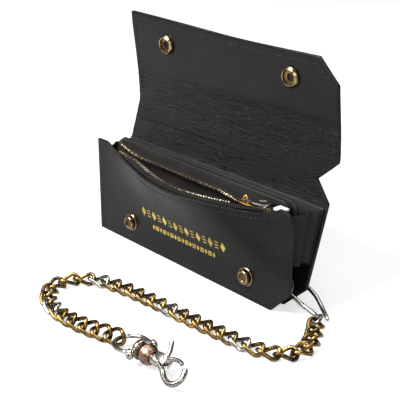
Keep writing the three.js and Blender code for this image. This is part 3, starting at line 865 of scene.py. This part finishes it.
# %% [markdown]
# ## Foil ornament
# Two rows of small diamonds and bars in worn gold foil, pressed into the middle of the front. The
# ornament is plain geometry.

# %% Foil
def foil_shape(x, s, width, height):
    return [(x - width / 2, s), (x, s - height / 2), (x + width / 2, s), (x, s + height / 2)]


def foil_patch(corners):
    outer = []
    for x, s in corners:
        middle, through, _ = front_place(x, s)
        outer.append(Vector(middle) - Vector(through) * (FRONT / 2 + 0.05))
    inner = [p + Vector((0, 0.12, 0)) for p in outer]
    n = len(corners)
    faces = [list(range(n)), [n + i for i in range(n)][::-1]]
    faces += [[i, (i + 1) % n, n + (i + 1) % n, n + i] for i in range(n)]
    return outer + inner, faces, 0


def foil_ornament():
    patches = []
    for low, left, right, count, tall in ((27.4, -40, 36, 15, 7.0), (18.6, -31, 27, 17, 3.8)):
        for i in range(count):
            x = left + (right - left) * i / (count - 1)
            if i % 2:
                for dash in (-0.3, 0.0, 0.3):
                    s = low + dash * tall
                    bar = [(x - 1.7, s - 0.35), (x + 1.7, s - 0.35), (x + 1.7, s + 0.35), (x - 1.7, s + 0.35)]
                    patches.append(foil_patch(bar))
            else:
                patches.append(foil_patch(foil_shape(x, low, 0.62 * tall, tall)))
    return gather(patches)


points, faces, slots = foil_ornament()
foil = make_object("foil ornament", points, faces, [FOIL], slots)
finish_piece(foil, 30)
flatten_on_closing(foil)

# %% [markdown]
# ## The zip
# Two cloth tapes carry rows of teeth, alternating silver and brass. The front row follows the bowed
# leather, the back row runs straight, and both meet behind the slider.

# %% Zip tapes
ZIP_MIDDLE = -2.9
SLIDER_X = 51.0


def zip_height(x):
    return front_top(x) + 1


def closing(x):
    return smooth_step(45, 52, x)


def front_tape_edges(x):
    outer = -3.8 - front_bow(x, 60)
    inner = min(outer + 4.5, -4.0)
    return outer, inner * (1 - closing(x)) + (ZIP_MIDDLE - 0.15) * closing(x)


def back_tape_edges(x):
    outer = -3.2 + 60 * math.tan(math.radians(6)) + zip_back_bow(x, 60) + 0.1
    inner = max(outer - 4.4, -1.6)
    return outer, inner * (1 - closing(x)) + (ZIP_MIDDLE + 0.15) * closing(x)


def back_zip_height(x):
    return zip_height(x) + 2.2 * (1 - smooth_step(25, 45, x))


def tape(name, edges, height, left, right, finish):
    columns = steps([left, right], 2)
    points = []
    for x in columns:
        outer, inner = edges(x)
        for k in range(4):
            y = outer + (inner - outer) * k / 3
            points.append((x, y, height(x) + 0.35))
            points.append((x, y, height(x) - 0.35))
    faces = []
    for i in range(len(columns) - 1):
        a = i * 8
        b = a + 8
        for k in range(3):
            faces.append([a + 2 * k, a + 2 * k + 2, b + 2 * k + 2, b + 2 * k])
            faces.append([a + 2 * k + 1, b + 2 * k + 1, b + 2 * k + 3, a + 2 * k + 3])
        faces.append([a, b, b + 1, a + 1])
        faces.append([a + 6, a + 7, b + 7, b + 6])
    last = (len(columns) - 1) * 8
    for start in (0, last):
        for k in range(3):
            faces.append([start + 2 * k, start + 2 * k + 1, start + 2 * k + 3, start + 2 * k + 2])
    return finish_piece(make_object(name, points, faces, [finish]), 50)


front_tape = tape("front zip tape", front_tape_edges, zip_height, -68, 76, CLOTH)
flatten_on_closing(front_tape)
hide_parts("zip_tape_front")
back_tape = tape("back zip tape", back_tape_edges, back_zip_height, -72, 76, CLOTH)
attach(back_tape, "front_pocket")
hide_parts("zip_tape_back")


# %% Zip teeth
def teeth_row(name, edges, height, left, right, inward):
    parts = []
    pitch = 1.85
    count = int((right - left) / pitch)
    for i in range(count):
        x = left + i * pitch
        y = edges(x)[1]
        slope = (edges(x + 0.5)[1] - edges(x - 0.5)[1])
        rise = (height(x + 0.5) - height(x - 0.5))
        right_way = Vector((1, slope, rise)).normalized()
        deep = Vector((-slope, 1, 0)).normalized() * inward
        up = right_way.cross(deep) * inward
        core = block((-0.55, -1.1, -1.15), (0.55, 1.2, 1.15))
        head = block((-0.4, 1.2, -0.75), (0.4, 1.75, 0.75))
        for shape in (core, head):
            parts.append((moved(shape[0], Vector((x, y, height(x))), right_way, deep, up), shape[1], i % 2))
    end = left - 2.4
    stop = block((-1.7, -1.1, -1.4), (1.7, 1.2, 1.4))
    parts.append((moved(stop[0], Vector((end, edges(end)[1], height(end))), Vector((1, 0, 0)), Vector((0, inward, 0)),
                        Vector((0, 0, 1))), stop[1], 1))
    points, faces, slots = gather(parts)
    made = make_object(name, points, faces, [TOOTH_SILVER, TOOTH_BRASS], slots)
    return finish_piece(made, 30, 0.16, 1)


front_teeth = teeth_row("front zip teeth", front_tape_edges, zip_height, -64, 45, 1)
flatten_on_closing(front_teeth)
back_teeth = teeth_row("back zip teeth", back_tape_edges, back_zip_height, -70, 45, -1)
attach(back_teeth, "front_pocket")
closed_teeth = teeth_row("closed zip teeth", lambda x: (0, ZIP_MIDDLE - 0.6), zip_height, 58.5, 75, 1)
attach(closed_teeth, "front_pocket")


def tape_end():
    low = (75.2, -5.6, zip_height(76) - 0.6)
    high = (82.5, 0.2, zip_height(76) + 0.9)
    shape = block(low, high)
    made = make_object("pale tape end", shape[0], shape[1], [PALE_CLOTH])
    finish_piece(made, 40, 0.35, 3)
    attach(made, "front_pocket")


tape_end()
print("zip teeth made")


# %% Zip slider and pull
def extruded(outline, low, high):
    n = len(outline)
    points = [Vector((x, y, z)) for z in (low, high) for x, y in outline]
    faces = [list(range(n))[::-1], [n + i for i in range(n)]]
    faces += [[i, (i + 1) % n, n + (i + 1) % n, n + i] for i in range(n)]
    return points, faces


def slider_shape():
    plate = [(-6, -1.9), (-4.6, -3.1), (-2, -3.6), (3.6, -3.6), (6, -2.5), (6, 2.5), (3.6, 3.6), (-2, 3.6),
             (-4.6, 3.1), (-6, 1.9)]
    parts = [(*extruded(plate, 1.6, 2.8), 0), (*extruded(plate, -2.8, -1.6), 0)]
    parts.append((*block((-5.6, -0.7, -1.9), (-3.6, 0.7, 1.9)), 0))
    arch = [(-2.1, 0, 2.4), (-2.1, 0, 4.2), (-1.4, 0, 5.5), (-0.5, 0, 5.9), (0.4, 0, 5.5), (1.1, 0, 4.2), (1.1, 0, 2.4)]
    ring, ring_faces = tube(smooth_curve(arch, 24), 0.62, 10)
    parts.append((ring, ring_faces, 0))
    return gather(parts)


def place_parts(points, origin):
    return [Vector(origin) + p for p in points]


slider_origin = (SLIDER_X, ZIP_MIDDLE, zip_height(SLIDER_X))
points, faces, slots = slider_shape()
slider = make_object("slider", place_parts(points, slider_origin), faces, [BRIGHT_BRASS], slots)
finish_piece(slider, 40, 0.22)
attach(slider, "slider")
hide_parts("zip_slider")

# %% [markdown]
# The pull keeps the shape of the solid frame and gets rounded edges: a copy of that mesh is bevelled.

# %% Rounded copies of small frame pieces
def rounded_copy(name, source, body, finish, bevel):
    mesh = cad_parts[source].data.copy()
    made = bpy.data.objects.new(piece_name(name), mesh)
    bpy.context.scene.collection.objects.link(made)
    mesh.materials.clear()
    mesh.materials.append(finish)
    select_only(made)
    bpy.ops.object.mode_set(mode="EDIT")
    bpy.ops.mesh.select_all(action="SELECT")
    bpy.ops.mesh.remove_doubles(threshold=0.00001)
    bpy.ops.mesh.dissolve_limited(angle_limit=math.radians(3))
    bpy.ops.object.mode_set(mode="OBJECT")
    finish_piece(made, 40, bevel)
    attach(made, body)
    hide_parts(source)
    return made


rounded_copy("pull", "zip_pull", "pull", SILVER, 0.2)
rounded_copy("collar", "swivel_collar", "collar_body", SILVER, 0.25)

# %% [markdown]
# ## Gussets and base
# Each end is closed by a strip of soft leather folded into pleats like a bellows.

# %% Gussets
def gusset(name, side, low, high, source):
    count = 40
    levels = steps([low, high], 2)
    points = []
    for z in levels:
        front = -3.6
        back = 1.0 + z * math.tan(LEAN)
        for i in range(count + 1):
            t = i / count
            fold = 0.5 - 0.5 * math.cos(4 * math.pi * t)
            x = side * (88.6 - 3.6 * fold)
            points.append((x, front + (back - front) * t, z))
        for i in range(count + 1):
            t = 1 - i / count
            fold = 0.5 - 0.5 * math.cos(4 * math.pi * t)
            x = side * (87.5 - 3.6 * fold)
            points.append((x, front + (back - front) * t, z))
    ring = 2 * (count + 1)
    faces = []
    for r in range(len(levels) - 1):
        for k in range(ring):
            n = (k + 1) % ring
            faces.append([r * ring + k, r * ring + n, (r + 1) * ring + n, (r + 1) * ring + k])
    last = (len(levels) - 1) * ring
    for i in range(count):
        faces.append([i, i + 1, ring - 2 - i, ring - 1 - i])
        faces.append([last + i, last + i + 1, last + ring - 2 - i, last + ring - 1 - i])
    made = finish_piece(make_object(name, points, faces, [INNER]), 60)
    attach(made, "back")
    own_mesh(made)
    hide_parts(source)


gusset("left gusset", -1, 4, 60, "gusset_left")
gusset("right gusset", 1, 30, 60, "gusset_right")


def base():
    shape = block((-88, -3.7, 0), (55, 2.9, 1.2))
    made = finish_piece(make_object("base strip", shape[0], shape[1], [BLACK]), 40, 0.4)
    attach(made, "back")
    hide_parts("base_strip")


base()

# %% [markdown]
# ## Snaps and eyelet
# Studs on the front, sockets inside the flap and caps outside it are turned parts. A turned part is a
# profile swept round an axis; here the axis is set along the leather's own direction.

# %% Snap profiles
def turned_piece(name, profile, origin, outward, finishes, body, source, closed=False, bright=()):
    points, faces = turned(profile, 56, closed)
    forward = Vector(outward).normalized()
    side = Vector((1, 0, 0)) - forward * forward.x
    side.normalize()
    third = forward.cross(side)
    points = moved(points, Vector(origin), forward, side, third)
    slots = [0] * len(faces)
    per_ring = len(faces) // max(1, len(profile) - (0 if closed else 1))
    for ring in bright:
        for k in range(ring * per_ring, min((ring + 1) * per_ring, len(faces))):
            slots[k] = 1
    made = finish_piece(make_object(name, points, faces, finishes, slots), 35)
    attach(made, body)
    if source:
        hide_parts(source)
    return made


STUD = [(0, -2.8), (3.8, -2.8), (4.0, -2.2), (1.5, -2.2), (1.5, 0.1), (5.6, 0.1), (5.9, 0.3), (5.9, 0.6),
        (5.6, 0.85), (4.6, 0.75), (4.0, 0.6), (3.2, 0.9), (3.0, 1.4), (3.3, 1.8), (3.9, 2.1), (4.2, 2.5),
        (4.2, 2.9), (3.9, 3.2), (3.5, 3.3), (3.1, 3.1), (2.8, 2.5),
        (2.4, 2.2), (0, 2.1)]
SOCKET = [(2.4, 0.1), (6.2, 0.1), (6.5, 0.5), (6.4, 1.2), (5.9, 1.7), (5.5, 2.3), (5.1, 2.5), (4.7, 2.3),
          (4.4, 1.6), (4.3, 1.0), (3.6, 0.8),
          (2.8, 0.9), (2.4, 0.7)]
CAP = [(0, -0.2), (7.0, -0.2), (7.3, 0.2), (7.1, 0.8), (6.2, 1.5), (4.6, 2.1), (2.4, 2.4), (0, 2.5)]
SNAP_X = 55.0
for title, side in (("left", -1), ("right", 1)):
    x = side * SNAP_X
    turned_piece(f"stud {title}", STUD, (x, -6.0, 14.5), (0, -1, 0), [SNAP_BRASS, RIM_BRASS], "front_pocket",
                 f"snap_stud_{title}", bright=(6, 7, 16, 17, 18))
    middle, through, lift = cover_place(x, FOLD_END + 44.5)
    inside = Vector(middle) - Vector(through) * (COVER / 2)
    outside = Vector(middle) + Vector(through) * (COVER / 2)
    turned_piece(f"socket {title}", SOCKET, inside, tuple(-Vector(through)), [SNAP_BRASS, RIM_BRASS], "flap_body",
                 f"snap_socket_{title}", closed=True, bright=(2, 4, 5, 6))
    turned_piece(f"cap {title}", CAP, outside, through, [SNAP_BRASS, RIM_BRASS], "flap_body",
                 f"snap_cap_{title}", bright=(2, 3))

# %% Eyelet
EYELET = [(3.0, -1.9), (3.4, -2.2), (4.6, -2.3), (5.8, -1.9), (6.0, -1.6), (4.0, -1.5), (4.0, 1.5), (6.0, 1.6),
          (5.8, 1.9), (4.6, 2.3), (3.4, 2.2),
          (3.0, 1.9)]
eyelet_middle, eyelet_through, _ = cover_place(75.5, 12)
turned_piece("eyelet", EYELET, eyelet_middle, eyelet_through, [SILVER, SILVER], "back", "corner_eyelet",
             closed=True)
print("snaps and eyelet made")

# %% [markdown]
# ## The curb chain
# Every link is the same bent ring: a racetrack of wire twisted a quarter turn from end to end. Its place
# and direction come from the matching link of the frame, whose principal directions are its own.

# %% Links
LINK_LONG = 12.4
LINK_WIDE = 8.4
LINK_WIRE = 2.4
SILVER_LINKS = (8, 14, 20, 26)


def link_line(count=52):
    straight = LINK_LONG - LINK_WIDE
    radius = LINK_WIDE / 2
    around = math.pi * LINK_WIDE + 2 * straight
    line = []
    for i in range(count):
        d = (i + 0.5) / count * around
        arc = math.pi * radius
        if d < straight:
            along, across = d - straight / 2, -radius
        elif d < straight + arc:
            a = (d - straight) / radius - math.pi / 2
            along, across = straight / 2 + radius * math.cos(a), radius * math.sin(a)
        elif d < 2 * straight + arc:
            along, across = straight / 2 - (d - straight - arc), radius
        else:
            a = (d - 2 * straight - arc) / radius + math.pi / 2
            along, across = -straight / 2 + radius * math.cos(a), radius * math.sin(a)
        twist = math.radians(45) * along / (LINK_LONG / 2)
        line.append(Vector((along, across * math.cos(twist), across * math.sin(twist))))
    return line


def principal_frame(node_name):
    """Centre and right-handed principal directions of a frame mesh, longest first."""
    points = np.array([v.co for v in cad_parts[node_name].data.vertices]) / MM
    points = np.unique(points.round(3), axis=0)
    centre = points.mean(axis=0)
    values, vectors = np.linalg.eigh(np.cov((points - centre).T))
    longest = Vector(vectors[:, 2])
    middle = Vector(vectors[:, 1])
    return Vector(centre), longest, middle, longest.cross(middle)


def add_links():
    ring, ring_faces = tube(link_line(), LINK_WIRE / 2, 12, closed=True)
    for i in range(1, 33):
        source = f"link_{i:02d}"
        centre, right, deep, up = principal_frame(source)
        finish = SILVER if i in SILVER_LINKS else DARK_BRASS
        made = make_object(f"chain link {i:02d}", moved(ring, centre, right, deep, up), ring_faces, [finish])
        finish_piece(made, 180)
        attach(made, f"chain_{i:02d}")
        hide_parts(source)


add_links()
print("32 links made")

# %% [markdown]
# ## Hook, bail and trigger snap
# The drop hook is a bent wire through the eyelet with an eye for the first link. The bail is a wire
# horseshoe pinned to the swivel collar. The snap has a fixed jaw and a sprung trigger.

# %% Drop hook
def towards_next(first, second):
    centre, right, deep, up = principal_frame(first)
    other = principal_frame(second)[0]
    return centre, right if (other - centre).dot(right) > 0 else -right


def drop_hook():
    centre, along = towards_next("link_01", "link_02")
    radius = 3.5
    eye_centre = centre - along * (3.15 + radius)
    level = Vector((along.x, along.y, 0)).normalized()
    side = Vector((-level.y, level.x, 0))
    tilted = (side + Vector((0, 0, 1))).normalized()
    eye = [eye_centre + level * radius * math.cos(a) + tilted * radius * math.sin(a)
           for a in (2 * math.pi * k / 36 for k in range(36))]
    near = eye_centre - level * radius
    arm = [near, (100, 4, 4.6), (92, 3.4, 7), (84, 3.2, 10), (79, 3.9, 11.4), (76, 6, 11.5), (75.5, 8.4, 11.5),
           (76, 11, 12), (79, 14, 12.4), (84, 15.6, 11.6), (92, 15, 8.4), (100, 12, 4.6), (108, 7.5, 2.2)]
    arm_points, arm_faces = tube(smooth_curve(arm, 120), lambda t: 1.3 if t < 0.97 else 1.3 - 12 * (t - 0.97), 14)
    eye_points, eye_faces = tube(eye, 1.1, 14, closed=True)
    points, faces, slots = gather([(arm_points, arm_faces, 0), (eye_points, eye_faces, 0)])
    made = finish_piece(make_object("drop hook wire", points, faces, [SILVER], slots), 60)
    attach(made, "hook")
    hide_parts("drop_hook")


drop_hook()

# %% Bail
SNAP_HEADING = math.radians(-4)
SNAP_ROLL = math.radians(40)
low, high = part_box("swivel_collar")
SEAT = (Vector(low) + Vector(high)) / 2 / MM
AHEAD = Vector((math.cos(SNAP_HEADING), math.sin(SNAP_HEADING), 0))
ACROSS = Vector((-math.sin(SNAP_HEADING), math.cos(SNAP_HEADING), 0))
UP = Vector((0, 0, 1))
ROLLED_ACROSS = ACROSS * math.cos(SNAP_ROLL) + UP * math.sin(SNAP_ROLL)
ROLLED_UP = UP * math.cos(SNAP_ROLL) - ACROSS * math.sin(SNAP_ROLL)


def around_y(parts):
    """Turned parts are made about +X; this lays them along +Y."""
    return [Vector((-p[1], p[0], p[2])) for p in parts]


LIFTED_LINK = 5.1
BAIL_EYE = [(1.45, -1.0), (2.6, -1.1), (3.0, -0.7), (3.0, 0.7), (2.6, 1.1), (1.45, 1.0)]


def bail():
    drop = LIFTED_LINK - SEAT.z
    line = [(-2.2, 7.7, 0), (-6, 8.6, 0.2 * drop), (-12, 8.8, 0.5 * drop), (-17, 6.4, 0.85 * drop), (-19.8, 3, drop),
            (-20.5, 0, drop), (-19.8, -3, drop), (-17, -6.4, 0.85 * drop), (-12, -8.8, 0.5 * drop),
            (-6, -8.6, 0.2 * drop), (-2.2, -7.7, 0)]
    wire_points, wire_faces = tube(smooth_curve(line, 90), 1.15, 14)
    parts = [(wire_points, wire_faces, 0)]
    for side in (-7.8, 7.8):
        ring_points, ring_faces = turned(BAIL_EYE, 32, True)
        parts.append(([p + Vector((0, side, 0)) for p in around_y(ring_points)], ring_faces, 0))
    points, faces, slots = gather(parts)
    made = make_object("bail wire", moved(points, SEAT, AHEAD, ACROSS, UP), faces, [SILVER], slots)
    finish_piece(made, 50)
    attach(made, "bail_body")
    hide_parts("bail")


bail()


# %% Snap body, bead and trigger
PIVOT = Vector((19.5, 3.2, 0))
WIRE = 1.6


def tapered(radius, start):
    """A wire radius that narrows to a rounded tip over the last part of its length."""
    def narrowed(t):
        beyond = max(t - start, 0) / (1.02 - start)
        return radius * math.sqrt(max(1 - beyond ** 2, 0.04))
    return narrowed


def snap_body():
    stem = [(0, -3.2), (2.5, -3.15), (3.0, -2.7), (2.8, -1.9), (1.7, -1.7), (1.7, 2.1), (2.5, 2.3), (3.1, 2.9),
            (3.1, 15), (2.8, 16.4), (1.9, 17.2), (0, 17.4)]
    stem_points, stem_faces = turned(stem, 40)
    jaw = [(13.5, -0.8, 0), (18, -1.2, 0), (21.5, -2.6, 0), (24.4, -4.4, 0), (27.05, -5.4, 0), (30, -5.9, 0),
           (33.6, -4.7, 0), (35.7, -1.5, 0), (35.5, 2.1, 0), (33.6, 4.6, 0)]
    jaw_points, jaw_faces = tube(smooth_curve(jaw, 80), tapered(WIRE, 0.975), 16)
    parts = [(stem_points, stem_faces, 0), (jaw_points, jaw_faces, 0)]
    lug = [(13, 0), (PIVOT.x + 1.9, 0), (PIVOT.x + 2.1, 3.4), (PIVOT.x + 1.3, 4.9), (PIVOT.x, 5.3), (17.4, 5.1),
           (13, 4.4)]
    for z in (-3.0, 1.8):
        parts.append((*extruded(lug, z, z + 1.2), 0))
    parts.append((*block((13, 0, -2.8), (15.6, 4.4, 2.8)), 0))
    return gather(parts)


def trigger_shape():
    hub_points, hub_faces = turned([(0, -1.5), (1.9, -1.5), (1.9, 1.5), (0, 1.5)], 32)
    hub = [PIVOT + Vector((p[1], p[2], p[0])) for p in hub_points]
    arm = [(19.9, 3.4, 0), (23, 5.3, 0), (26.3, 6.2, 0), (28.6, 6.2, 0), (30.4, 5.7, 0)]
    arm_points, arm_faces = tube(smooth_curve(arm, 40), tapered(1.25, 0.96), 14)
    thumb = [(19.1, 3.9, 0), (17.9, 7.4, 0), (15.8, 10.6, 0), (14.4, 12.4, 0)]
    thumb_points, thumb_faces = tube(smooth_curve(thumb, 24), lambda t: 1.2 + 0.3 * t, 14)
    return gather([(hub, hub_faces, 0), (arm_points, arm_faces, 0), (thumb_points, thumb_faces, 0)])


def add_snap_piece(name, shape, body, source, bevel):
    points, faces, slots = shape
    made = make_object(name, moved(points, SEAT, AHEAD, ROLLED_ACROSS, ROLLED_UP), faces, [SILVER], slots)
    finish_piece(made, 45, bevel)
    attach(made, body)
    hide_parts(source)


add_snap_piece("snap body", snap_body(), "snap_body", "snap_hook", 0.3)
add_snap_piece("trigger lever", trigger_shape(), "trigger_body", "trigger", 0.25)


def bead():
    profile = [(3.5, 2.8)]
    for i in range(1, 12):
        x = 2.8 + 8.0 * i / 12
        rope = 0.18 * math.cos(i * math.pi)
        profile.append((5.5 * math.sqrt(max(1 - ((x - 6.7) / 5.2) ** 2, 0.05)) + rope, x))
    profile.append((3.5, 10.8))
    points, faces = turned(profile, 56, True)
    made = make_object("copper bead", moved(points, SEAT, AHEAD, ROLLED_ACROSS, ROLLED_UP), faces, [COPPER])
    finish_piece(made, 60)
    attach(made, "snap_body")
    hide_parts("swivel_dome")


bead()


# %% Trigger pin
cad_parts["trigger_pin"].data.materials.clear()
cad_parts["trigger_pin"].data.materials.append(SILVER)
print("snap made")

# %% Scene bounds
low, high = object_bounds()
